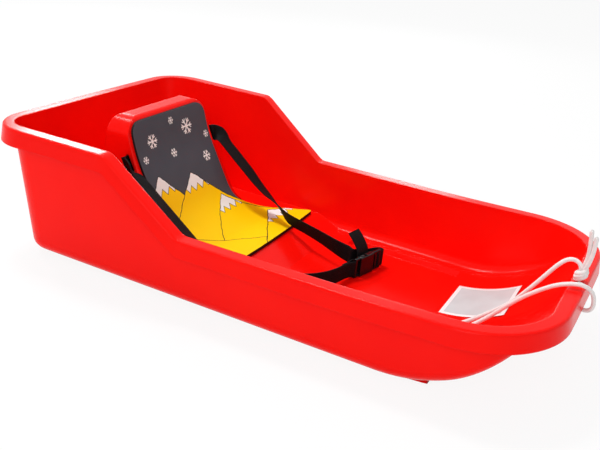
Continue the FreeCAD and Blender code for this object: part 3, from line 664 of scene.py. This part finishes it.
over_line, over_across = stations_of(adjuster_strap)
wrap_line = np.array([at_buckle(*place) for place in ladder_wrap])
wrap_across = np.tile(buckle_up, (len(wrap_line), 1))
fold_line = np.array([at_buckle(u, v, w) for u, v, w, _ in fold_up])
fold_turns = np.radians([turn for _, _, _, turn in fold_up])[:, None]
fold_across = buckle_along * np.sin(fold_turns) + buckle_up * np.cos(fold_turns)
tail_line = np.array([at_buckle(*place) for place in free_tail])
tail_across = np.tile(buckle_along, (len(tail_line), 1))
adjuster = ribbon("belt_adjusting_band", np.vstack([over_line, wrap_line, fold_line, tail_line]),
                  np.vstack([over_across, -wrap_across, -fold_across, -tail_across]), twill)
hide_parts("belt_adjuster_end")
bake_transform(adjuster)

# %% [markdown]
# The seat pad is a sheet of foam with a printed face. Its side view follows the seat:
# straight runs joined by arcs. A small helper samples such a line, and the same helper
# gives the pad's plan, which is narrow on the seat back and wide over the platform.
# %% Rounded lines


def rounded_line(corners, radii, step):
    """Straight runs joined by arcs: each corner's arc touches both runs, sampled evenly."""
    corners = np.asarray(corners, dtype=float)
    pieces = [corners[:1]]
    for before, corner, after, radius in zip(corners, corners[1:], corners[2:], radii):
        back, ahead = unit(before - corner), unit(after - corner)
        half = math.acos(float(np.clip(back @ ahead, -1, 1))) / 2
        middle = corner + unit(back + ahead) * radius / math.sin(half)
        start = corner + back * radius / math.tan(half) - middle
        end = corner + ahead * radius / math.tan(half) - middle
        sweep = math.pi - 2 * half
        t = np.linspace(0, 1, max(3, int(radius * sweep / step)))[:, None]
        arc = start * np.sin((1 - t) * sweep) + end * np.sin(t * sweep)
        pieces.append(middle + arc / math.sin(sweep))
    pieces.append(corners[-1:])
    line = np.vstack(pieces)
    reach = run_lengths(line)
    return at_lengths(np.linspace(0, reach[-1], int(reach[-1] / step) + 1), reach, line)


# %% [markdown]
# The pad is a closed surface of two sheets, the printed face and the back, joined by
# a side wall. A grid point's row says how far down the pad it is, and its column how
# far across. The rows shorten in the round top corners, and the front edge bows.
# %% Seat pad
pad_thick = 6.0
pad_gap = 0.3
pad_top = 202.0
pad_back_half = 87.5
pad_front_half = 168.0
pad_front_x = 341.0
pad_front_bow = 6.0
pad_top_round = 20.0
pad_front_round = 5.0
outline_step = 0.5
seat_corners = [(153, 207), (168, 152), (237, 25), (360, 25)]
seat_radii = [220, 96]
plan_corners = [(100, pad_back_half), (237, pad_back_half), (262, 113.3), (296.3, 146.3),
                (335, pad_front_half), (360, 182)]
plan_radii = [30, 30, 30, 5]


def corner_inset(radius, distance):
    """How far a round corner draws the edge in, at a distance from the sheet's end."""
    left = np.clip(radius - distance, 0, radius)
    return radius - np.sqrt(radius ** 2 - left ** 2)


def pad_grid(lift, rows, columns):
    """Pad sheet at a lift over the seat: points, and (across, down) in metres for each."""
    line = rounded_line(seat_corners, seat_radii, outline_step)
    normal = np.gradient(line, axis=0)
    normal = unit(np.stack([-normal[:, 1], normal[:, 0]], axis=1))
    line = line + normal * lift
    line = line[np.argmax(line[:, 1] < pad_top):]
    down = run_lengths(line)
    end = float(np.interp(pad_front_x, line[:, 0], down))
    plan = rounded_line(plan_corners, plan_radii, outline_step)
    even = np.linspace(0, 1, rows)
    row = (even + (1 - np.cos(math.pi * even)) / 2) / 2
    column = np.linspace(-1, 1, columns)
    depth = row[:, None] * (end - pad_front_bow * column[None, :] ** 2)
    middle_x = np.interp(depth[:, columns // 2], down, line[:, 0])
    half = np.interp(middle_x, plan[:, 0], plan[:, 1])
    half = half - corner_inset(pad_top_round, row * end)
    half = half - corner_inset(pad_front_round, (1 - row) * end)
    y = half[:, None] * column[None, :]
    x = np.interp(depth, down, line[:, 0])
    z = np.interp(depth, down, line[:, 1])
    return np.stack([x, y, z], axis=-1), np.stack([y, depth], axis=-1) * 0.001


def make_pad(material):
    """Closed pad from its face, its back and the wall between their rims."""
    rows, columns = 120, 90
    face, face_uv = pad_grid(pad_gap + pad_thick, rows, columns)
    under, under_uv = pad_grid(pad_gap, rows, columns)
    points = on_sled(np.concatenate([face.reshape(-1, 3), under.reshape(-1, 3)]))
    piece = new_object("seat_pad_foam", points, sheet_faces(rows, columns), material)
    put_uv(piece.data, np.concatenate([face_uv.reshape(-1, 2), under_uv.reshape(-1, 2)]))
    is_face = np.repeat([1.0, 0.0], rows * columns).astype(np.float32)
    mark = piece.data.attributes.new("printed", "FLOAT", "POINT")
    mark.data.foreach_set("value", is_face)
    bevel = piece.modifiers.new("soft_edge", "BEVEL")
    bevel.width = 0.0012
    bevel.segments = 3
    bevel.limit_method = "ANGLE"
    bevel.angle_limit = math.radians(50)
    return piece


# %% [markdown]
# The face is printed with a winter scene: yellow peaks with white caps on a dark
# slate sky, and a few snowflakes. Each peak is a folded line, "height minus slope times
# distance", and the highest one wins, so the whole range is a few Math nodes on the
# pad's UV map. A cap is the part of a peak close under its own outline.
# %% Printed face
slate = (0.066, 0.072, 0.088, 1)
slate_deep = (0.058, 0.064, 0.080, 1)
peak_yellow = (1.0, 0.62, 0.0, 1)
snow_white = (0.86, 0.86, 0.84, 1)
ink = (0.012, 0.011, 0.010, 1)
bare_foam = (0.010, 0.010, 0.011, 1)
outline_width = 0.0016
cap_depth = 0.020
cap_tooth = 0.008
cap_tooth_slope = 1.3
peaks = [(-0.062, 0.085, 1.05), (0.010, 0.098, 0.9), (0.060, 0.150, 0.9),
         (-0.115, 0.150, 0.8), (0.120, 0.215, 0.6)]
flakes = [(-0.050, 0.035, 0.011), (0.035, 0.030, 0.013), (0.062, 0.085, 0.009),
          (-0.010, 0.062, 0.007), (0.000, 0.014, 0.006), (0.078, 0.052, 0.006),
          (-0.074, 0.058, 0.006)]


def flake_group():
    """Six-armed snowflake: distance to the nearest arm, turned by folding the angle."""
    arm_share, barb_place, barb_slope, barb_reach = 0.09, 0.5, 1.1, 0.32
    inputs = [("Across", "NodeSocketFloat", 0.0), ("Down", "NodeSocketFloat", 0.0),
              ("Size", "NodeSocketFloat", 0.01)]
    group, start, end = new_group("snowflake", inputs, [("Mask", "NodeSocketFloat")])
    calc = partial(math_node, group)
    size = start.outputs["Size"]
    _, across, down = surface_place(group)
    x = calc("SUBTRACT", across, start.outputs["Across"])
    y = calc("SUBTRACT", down, start.outputs["Down"])
    reach = calc("SQRT", calc("ADD", calc("MULTIPLY", x, x), calc("MULTIPLY", y, y)))
    fold = calc("PINGPONG", calc("ARCTAN2", y, x), math.pi / 6)
    off_arm = calc("MULTIPLY", reach, calc("SINE", fold))
    along = calc("MULTIPLY", reach, calc("COSINE", fold))
    thin = calc("MULTIPLY", size, arm_share)
    arm = calc("LESS_THAN", off_arm, thin)
    inside = calc("LESS_THAN", along, size)
    barb_line = calc("SUBTRACT", along, calc("MULTIPLY", off_arm, barb_slope))
    barb_off = calc("ABSOLUTE", calc("SUBTRACT", barb_line, calc("MULTIPLY", size, barb_place)))
    barb_end = calc("LESS_THAN", off_arm, calc("MULTIPLY", size, barb_reach))
    barb = calc("MULTIPLY", calc("LESS_THAN", barb_off, thin), barb_end)
    mask = calc("MULTIPLY", calc("MAXIMUM", arm, barb), inside)
    group.links.new(mask, end.inputs["Mask"])
    return group


def pad_material():
    """Foam pad: a printed satin face, and plain dark foam on its wall and back."""
    wobble_scale, wobble_reach = 60.0, 0.006
    least_printed = 0.97
    material, tree, shader = surface_material("seat_pad_print", specular=0.14)
    calc = partial(math_node, tree)
    place, across, down = surface_place(tree)
    grain = use_group(tree, moulding_grain, Grain_scale=2400.0, Sink_scale=30.0, Sink_share=0.25)
    wobble = add(tree, "ShaderNodeTexNoise")
    wobble.inputs["Scale"].default_value = wobble_scale
    tree.links.new(place, wobble.inputs["Vector"])
    rough_edge = calc("MULTIPLY", calc("SUBTRACT", wobble.outputs["Fac"], 0.5), wobble_reach)
    colour = two_tone(tree, grain.outputs["Shade"], shade_span, slate, slate_deep)
    flake = flake_group()
    for flake_across, flake_down, size in flakes:
        one = use_group(tree, flake, Across=flake_across, Down=flake_down, Size=size)
        colour = mixed(tree, one.outputs["Mask"], colour, snow_white)
    for peak_across, peak_down, slope in sorted(peaks, key=lambda peak: peak[1]):
        off = calc("ABSOLUTE", calc("SUBTRACT", across, peak_across))
        ridge = calc("ADD", calc("MULTIPLY", off, slope), peak_down)
        depth = calc("SUBTRACT", down, calc("ADD", ridge, rough_edge))
        on_peak = calc("GREATER_THAN", depth, 0.0)
        on_line = calc("MULTIPLY", on_peak, calc("LESS_THAN", depth, outline_width))
        teeth = calc("MULTIPLY", calc("PINGPONG", across, cap_tooth), cap_tooth_slope)
        cap_end = calc("ADD", teeth, peak_down + cap_depth)
        on_cap = calc("MULTIPLY", on_peak, calc("LESS_THAN", down, cap_end))
        near_cap = calc("LESS_THAN", down, calc("ADD", cap_end, outline_width))
        cap_line = calc("SUBTRACT", calc("MULTIPLY", on_peak, near_cap), on_cap)
        colour = mixed(tree, on_peak, colour, peak_yellow)
        colour = mixed(tree, on_cap, colour, snow_white)
        colour = mixed(tree, calc("MAXIMUM", on_line, cap_line), colour, ink)
    printed = add(tree, "ShaderNodeAttribute", attribute_name="printed")
    on_face = calc("GREATER_THAN", printed.outputs["Fac"], least_printed)
    colour = mixed(tree, on_face, bare_foam, colour)
    link_surface(tree, shader, colour, shade=grain.outputs["Shade"], roughness=(0.42, 0.55),
                 height=grain.outputs["Height"], depth=0.00015, strength=0.5)
    return material


pad = make_pad(pad_material())
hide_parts("seat_pad")
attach(pad, "sled")

# %% [markdown]
# The pull cord is a soft white braid of 5.5 mm. Its line is a NURBS curve of listed
# points: out of the knot, over the inside of the nose, in folds over the floor,
# back up over the rim and in through the hole from below.
# %% Cord route
cord_diameter = 0.0055
cord_fineness = 14
cord_points = [
    (791, 2, 126), (791, 4.5, 136), (784.5, 6.5, 144.6), (773.5, 6, 145),
    (763.5, 2.5, 136.5), (750.5, -2, 116.5), (736.5, -4.5, 94.5), (719, -7, 69.5),
    (698.5, -9.5, 50), (677, -15, 33), (652, -39, 23), (627, -65, 17.5), (601, -89, 14.2),
    (574, -105, 14), (548, -108, 14), (521.9, -106, 14), (510.5, -94.6, 14),
    (510.5, -78.4, 14), (521.9, -67, 14), (549, -66, 14), (575, -65, 14),
    (602.1, -63.5, 14), (613.5, -52.1, 14.2), (613.5, -35.9, 14.2), (602.1, -24.5, 14),
    (575, -23.5, 14), (549, -24.5, 14), (522, -29, 14), (497, -48, 14), (487, -79, 14),
    (502, -109, 14), (534, -125, 14), (571, -122, 14), (604, -106, 14.2), (632, -83, 17.5),
    (658, -58, 24.5), (680, -38, 35), (697, -28, 49), (711, -26.5, 65), (724, -28, 81),
    (738, -30, 96.5), (754, -30, 110.5), (769, -28.5, 121), (784, -26, 127),
    (799, -22, 128.5), (810.5, -17.5, 121.5), (815, -13.5, 108), (815, -10, 95),
    (808, -6, 88), (798, -3, 88), (791, -1, 95.5), (791, 0, 107), (791, 0.5, 122),
]
tail_long_points = [
    (790.6, 1.4, 136), (794, 2.4, 148), (794.5, 2, 162), (792.8, 1.5, 177), (791, 1, 191),
]
tail_short_points = [
    (793.8, -1.6, 136), (797.4, -1.8, 148), (799, -1.2, 161), (799, 0, 173), (798.5, 0.6, 184),
]


def nurbs_line(points_mm):
    """Points of the smooth NURBS curve that given points control."""
    data = bpy.data.curves.new("route", "CURVE")
    data.dimensions = "3D"
    spline = data.splines.new("NURBS")
    places = on_sled(points_mm)
    spline.points.add(len(places) - 1)
    spline.points.foreach_set("co", np.hstack([places, np.ones((len(places), 1))]).ravel())
    spline.order_u = 3
    spline.use_endpoint_u = True
    spline.resolution_u = cord_fineness
    holder = bpy.data.objects.new("route", data)
    mesh = bpy.data.meshes.new_from_object(holder)
    line = np.empty(len(mesh.vertices) * 3)
    mesh.vertices.foreach_get("co", line)
    bpy.data.objects.remove(holder)
    bpy.data.curves.remove(data)
    bpy.data.meshes.remove(mesh)
    return line.reshape(-1, 3)


# %% [markdown]
# The braid shows as crossing strands. The tube's radius rises and falls with two sets
# of waves that wind round it in opposite ways, which is what braided yarns do.
# A frame that turns as little as possible is carried along the line, so that the braid
# doesn't twist in the bends.
# %% Braided tube
cord_step = 0.0011
braid_pitch_in_diameters = 2.2
yarns_each_way = 4
braid_hollow = 0.93
braid_relief = 0.06
end_least = 0.02


def steady_frame(line):
    """Two directions square to a line, each carried over from the last with least turn."""
    along = unit(np.gradient(line, axis=0))
    any_way = (0.3, 0.2, 1.0)
    sides = [unit(np.cross(along[0], any_way))]
    for way in along[1:]:
        sides.append(unit(sides[-1] - way * (sides[-1] @ way)))
    sides = np.array(sides)
    return sides, np.cross(along, sides)


def resampled(line, step):
    """Line with its points a steady step apart."""
    reach = run_lengths(line)
    return at_lengths(np.linspace(0, reach[-1], int(reach[-1] / step)), reach, line)


def braided_tube(name, line, diameter, material):
    """Tube with a braid: waves of yarns wind both ways round it. Its ends are round."""
    line = resampled(line, cord_step)
    side, over = steady_frame(line)
    reach = run_lengths(line)
    rows, columns = len(line), 24
    angle = np.linspace(0, 2 * math.pi, columns, endpoint=False)[None, :]
    wind = 2 * reach[:, None] / (diameter * braid_pitch_in_diameters) * 2 * math.pi
    turn = yarns_each_way * angle
    strands = (np.abs(np.sin(turn + wind)) + np.abs(np.sin(turn - wind))) / 2
    to_end = np.minimum(reach, reach[-1] - reach)[:, None]
    inner = np.clip(1 - to_end / (diameter / 2), 0, 1)
    end_share = np.sqrt(np.clip(1 - inner ** 2, end_least, 1))
    radius = diameter / 2 * (braid_hollow + braid_relief * strands) * end_share
    points = (line[:, None] + side[:, None] * (np.cos(angle) * radius)[..., None]
              + over[:, None] * (np.sin(angle) * radius)[..., None])
    faces = swept_faces(rows, columns, reverse=True)
    piece = new_object(name, points.reshape(-1, 3), faces, material)
    round_share = np.repeat(angle / (2 * math.pi), rows, axis=0)
    length = np.repeat(reach[:, None], columns, axis=1)
    put_uv(piece.data, np.stack([round_share, length], -1).reshape(-1, 2))
    # The strand height is kept for the painted shade in the hollows.
    depth = piece.data.attributes.new("braid", "FLOAT", "POINT")
    depth.data.foreach_set("value", strands.astype(np.float32).ravel())
    print(name, "length", round(float(reach[-1]), 4), "points", rows * columns)
    return piece, line


cord_white = (0.84, 0.82, 0.81, 1)
# The grey is painted shade for the hollows between strands.
cord_hollow_painted_shade = (0.60, 0.58, 0.57, 1)


def cord_material():
    """White braid, with painted shade that greys the hollows between its strands."""
    tone_span = (0.1, 0.8)
    material, tree, shader = surface_material("cord_braid", specular=0.3)
    shader.inputs["Sheen Weight"].default_value = 0.15
    strands = add(tree, "ShaderNodeAttribute", attribute_name="braid")
    # Painted shade: the colour greys where the strands sink.
    colour = two_tone(tree, strands.outputs["Fac"], tone_span, cord_white, cord_hollow_painted_shade)
    place, _, _ = surface_place(tree)
    fibre = add(tree, "ShaderNodeTexNoise")
    fibre.inputs["Scale"].default_value = 1500.0
    fibre.inputs["Detail"].default_value = 2.0
    tree.links.new(place, fibre.inputs["Vector"])
    link_surface(tree, shader, colour, shade=fibre.outputs["Fac"], roughness=(0.5, 0.65),
                 height=fibre.outputs["Fac"], depth=0.0002, strength=0.4)
    return material


white_braid = cord_material()
cord, cord_line = braided_tube("pull_cord_braid", nurbs_line(cord_points), cord_diameter,
                               white_braid)
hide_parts("pull_cord")
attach(cord, "sled")

# %% [markdown]
# Above the hole the cord is tied to itself. The knot is the cord wound three times
# round both strands, so it is a helix with the cord's own tube, a little wider in its
# middle turn, and leaning as a knot does when it is pulled tight. Two ends stand up.
# %% Knot and ends
knot_place = on_sled((791.5, 0.5, 131))
knot_reach = 0.0056
knot_rise = 0.0125
knot_turns = 3.3
knot_start_angle = 0.6
knot_end_share = 0.78
knot_swell = 0.30
knot_lean = 0.5
knot_steps = 150


def knot_line():
    """Helix of about three turns, wider in the middle and drawn in at both ends."""
    t = np.linspace(0, 1, knot_steps)
    turn = t * knot_turns * 2 * math.pi + knot_start_angle
    bulge = knot_reach * (knot_end_share + knot_swell * np.sin(math.pi * t))
    z = (t - 0.5) * knot_rise + knot_lean * bulge * np.cos(turn)
    return knot_place + np.stack([bulge * np.cos(turn), bulge * np.sin(turn), z], axis=1)


knot, _ = braided_tube("cord_knot_wraps", knot_line(), cord_diameter, white_braid)
tail_long, tail_long_line = braided_tube("cord_end_long", nurbs_line(tail_long_points),
                                         cord_diameter, white_braid)
tail_short, tail_short_line = braided_tube("cord_end_short", nurbs_line(tail_short_points),
                                           cord_diameter, white_braid)
for piece, node in ((knot, "cord_knot"), (tail_long, "cord_tail_long"),
                    (tail_short, "cord_tail_short")):
    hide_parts(node)
    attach(piece, "sled")

# %% [markdown]
# A plain label is stuck where the floor turns up into the nose. It is a sheet of
# film that follows the ramp: its corners are listed, and its height is worked
# out from the circle of the ramp. It is left blank, with a white border round a pale
# grey field.
# %% Blank label
ramp_start_x = 602.0
floor_inside = 10.0
ramp_inside = 198.0
ramp_share = 0.95
label_corners = np.array([(621, 107), (709, 107), (711, 4), (622, 12)], dtype=float)
label_thick = 0.25
label_lift = 0.02
label_white = (0.86, 0.85, 0.85, 1)
label_grey = (0.56, 0.64, 0.65, 1)
label_grey_deep = (0.51, 0.59, 0.60, 1)


def ramp_height(x):
    """Height of the tub's inner floor: level, then a circle that rises to the nose."""
    run = np.clip(x - ramp_start_x, 0, ramp_inside * ramp_share)
    return floor_inside + ramp_inside - np.sqrt(ramp_inside ** 2 - run ** 2)


def make_label(material):
    """Film over the ramp: a bilinear patch between four corners, lifted by its thickness."""
    rows, columns = 40, 40
    a, b = np.meshgrid(np.linspace(0, 1, rows), np.linspace(0, 1, columns), indexing="ij")
    near_rear, near_front, far_front, far_rear = label_corners
    along, across = b[..., None], a[..., None]
    near = near_rear * (1 - along) + near_front * along
    far = far_rear * (1 - along) + far_front * along
    plan = near * (1 - across) + far * across
    low = ramp_height(plan[..., 0])
    sheets = [np.stack([plan[..., 0], plan[..., 1], low + lift], axis=-1).reshape(-1, 3)
              for lift in (label_thick, label_lift)]
    points = on_sled(np.concatenate(sheets))
    piece = new_object("blank_label", points, sheet_faces(rows, columns), material)
    uv = np.stack([b, a], axis=-1).reshape(-1, 2)
    put_uv(piece.data, np.concatenate([uv, uv]))
    return piece


def label_material():
    """White film with a pale grey printed field inside its border."""
    border = 0.06
    material, tree, shader = surface_material("label_film", specular=0.4)
    calc = partial(math_node, tree)
    _, across, down = surface_place(tree)
    inside = []
    for socket in (across, down):
        off = calc("ABSOLUTE", calc("SUBTRACT", socket, 0.5))
        inside.append(calc("LESS_THAN", off, 0.5 - border))
    field = calc("MULTIPLY", *inside)
    grain = use_group(tree, moulding_grain, Grain_scale=1500.0, Sink_scale=40.0, Sink_share=0.4)
    grey = two_tone(tree, grain.outputs["Shade"], shade_span, label_grey, label_grey_deep)
    colour = mixed(tree, field, label_white, grey)
    link_surface(tree, shader, colour, shade=grain.outputs["Shade"], roughness=(0.32, 0.42),
                 height=grain.outputs["Height"], depth=0.0001, strength=0.4)
    return material


label = make_label(label_material())
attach(label, "sled")
